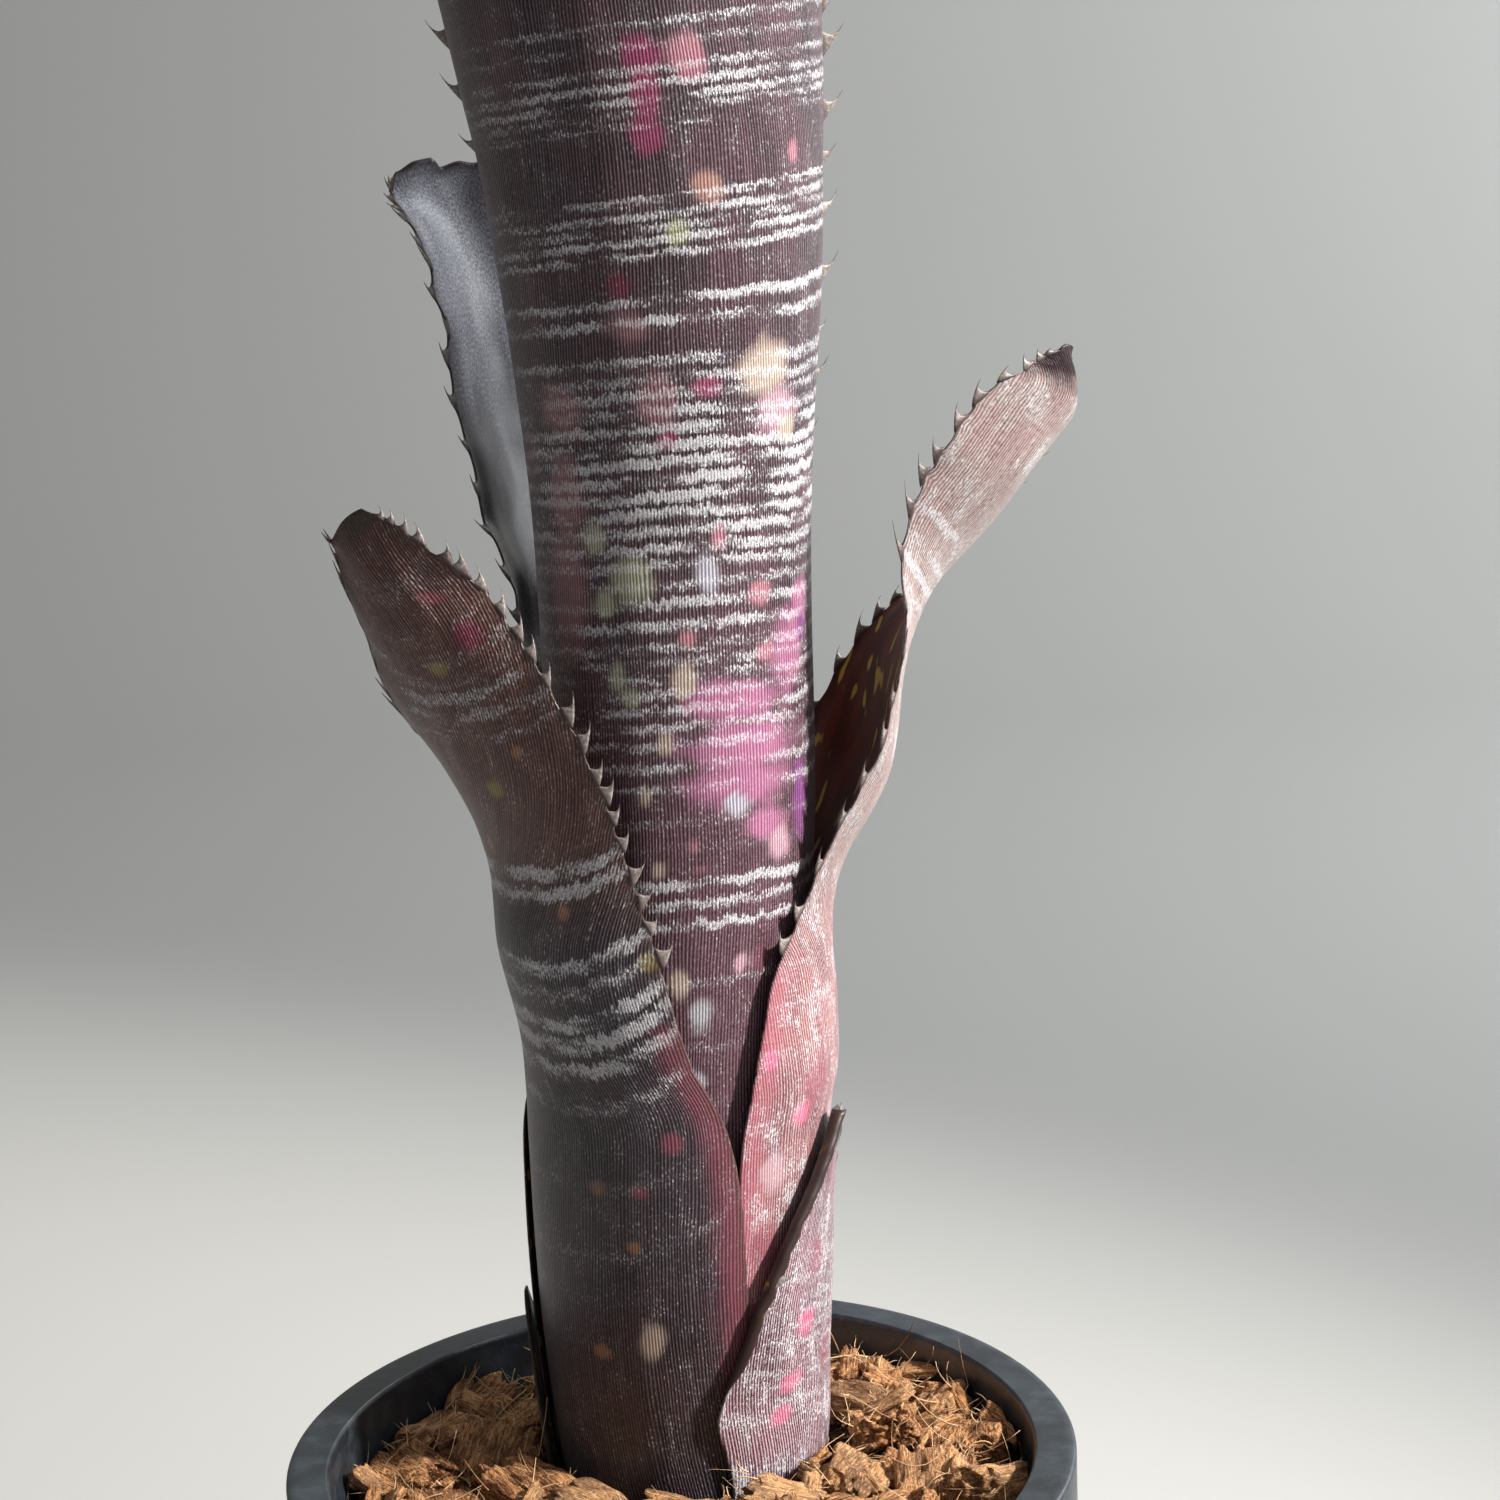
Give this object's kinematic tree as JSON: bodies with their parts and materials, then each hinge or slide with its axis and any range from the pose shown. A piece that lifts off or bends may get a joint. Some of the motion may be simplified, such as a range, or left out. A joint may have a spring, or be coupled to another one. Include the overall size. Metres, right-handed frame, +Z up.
{
  "type": "potted tube bromeliad",
  "caption": "Living bromeliad with broad spined leaves wrapped into an upright water-holding tube, rooted in husk chips in a round nursery pot.",
  "frame": {"origin": "centre of the pot's flat base, on the table", "axes": "+Z up along the pot's axis and the tube of leaves, -Y toward the front of the plant, +X toward its right"},
  "size_m": [0.1556, 0.1506, 0.4686],
  "materials": {
    "pot": "satin",
    "husk": "matte",
    "stem": "matte",
    "leaf": "satin",
    "dry_leaf": "matte"
  },
  "bodies": {
    "root": {"pot": "pot", "husk_bed": "husk", "stem": "stem", "young_leaf": "leaf", "back_leaf": "leaf", "front_leaf": "leaf", "back_left_leaf": "leaf", "right_leaf": "leaf", "left_leaf": "leaf", "front_basal_leaf": "leaf", "left_basal_leaf": "leaf", "dry_basal_scale": "dry_leaf", "husk_chip_01": "husk", "husk_chip_02": "husk", "husk_chip_03": "husk", "husk_chip_04": "husk", "husk_chip_05": "husk", "husk_chip_06": "husk", "husk_chip_07": "husk", "husk_chip_08": "husk", "husk_chip_09": "husk", "husk_chip_10": "husk", "husk_chip_11": "husk", "husk_chip_12": "husk", "husk_chip_13": "husk", "husk_chip_14": "husk", "husk_chip_15": "husk", "husk_chip_16": "husk", "husk_chip_17": "husk", "husk_chip_18": "husk", "husk_chip_19": "husk", "husk_chip_20": "husk", "husk_chip_21": "husk", "husk_chip_22": "husk", "husk_chip_23": "husk", "husk_chip_24": "husk", "husk_chip_25": "husk", "husk_chip_26": "husk", "husk_chip_27": "husk", "husk_chip_28": "husk", "husk_chip_29": "husk", "husk_chip_30": "husk", "husk_chip_31": "husk", "husk_chip_32": "husk", "husk_chip_33": "husk", "husk_chip_34": "husk", "husk_chip_35": "husk", "husk_chip_36": "husk"}
  },
  "joints": []
}
